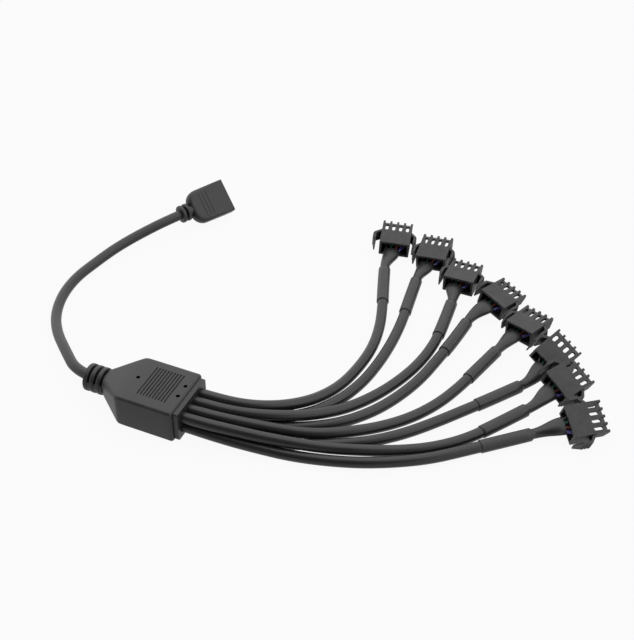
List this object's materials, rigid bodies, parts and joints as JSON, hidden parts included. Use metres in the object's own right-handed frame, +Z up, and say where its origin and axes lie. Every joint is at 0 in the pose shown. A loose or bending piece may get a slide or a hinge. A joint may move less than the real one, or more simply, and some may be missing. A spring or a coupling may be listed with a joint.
{
  "type": "rgb splitter cable",
  "caption": "Splitter cable for colour lighting strips: a moulded block takes one flat-plug input lead and feeds short output leads, each with a heat-shrink sleeve and latching connector.",
  "frame": {"origin": "bottom centre of the splitter block with its collar, on the surface it lies on", "axes": "+X along the block from the input lead to the output leads, +Y to the left of that, +Z up"},
  "size_m": [0.1931, 0.1281, 0.012],
  "materials": {
    "moulding": "satin moulded black",
    "cable_jacket": "satin black jacket",
    "heat_shrink": "satin black shrink tube",
    "connector_shell": "matte black moulding",
    "contact_metal": "plain",
    "board": "coated board",
    "core_black": "wire insulation",
    "core_green": "wire insulation",
    "core_red": "wire insulation",
    "core_blue": "wire insulation"
  },
  "bodies": {
    "root": {"splitter_housing": "moulding", "cable_collar": "moulding", "junction_board": "board", "bus_rails": "contact_metal", "input_plug": "moulding", "plug_socket": "connector_shell", "plug_contacts": "contact_metal", "input_cable": "cable_jacket", "output_cable_1": "cable_jacket", "output_cable_2": "cable_jacket", "output_cable_3": "cable_jacket", "output_cable_4": "cable_jacket", "output_cable_5": "cable_jacket", "output_cable_6": "cable_jacket", "output_cable_7": "cable_jacket", "output_cable_8": "cable_jacket", "sleeve_1": "heat_shrink", "sleeve_2": "heat_shrink", "sleeve_3": "heat_shrink", "sleeve_4": "heat_shrink", "sleeve_5": "heat_shrink", "sleeve_6": "heat_shrink", "sleeve_7": "heat_shrink", "sleeve_8": "heat_shrink", "connector_1": "connector_shell", "connector_2": "connector_shell", "connector_3": "connector_shell", "connector_4": "connector_shell", "connector_5": "connector_shell", "connector_6": "connector_shell", "connector_7": "connector_shell", "connector_8": "connector_shell", "contacts_1": "contact_metal", "contacts_2": "contact_metal", "contacts_3": "contact_metal", "contacts_4": "contact_metal", "contacts_5": "contact_metal", "contacts_6": "contact_metal", "contacts_7": "contact_metal", "contacts_8": "contact_metal", "black_cores": "core_black", "green_cores": "core_green", "red_cores": "core_red", "blue_cores": "core_blue"}
  },
  "joints": []
}
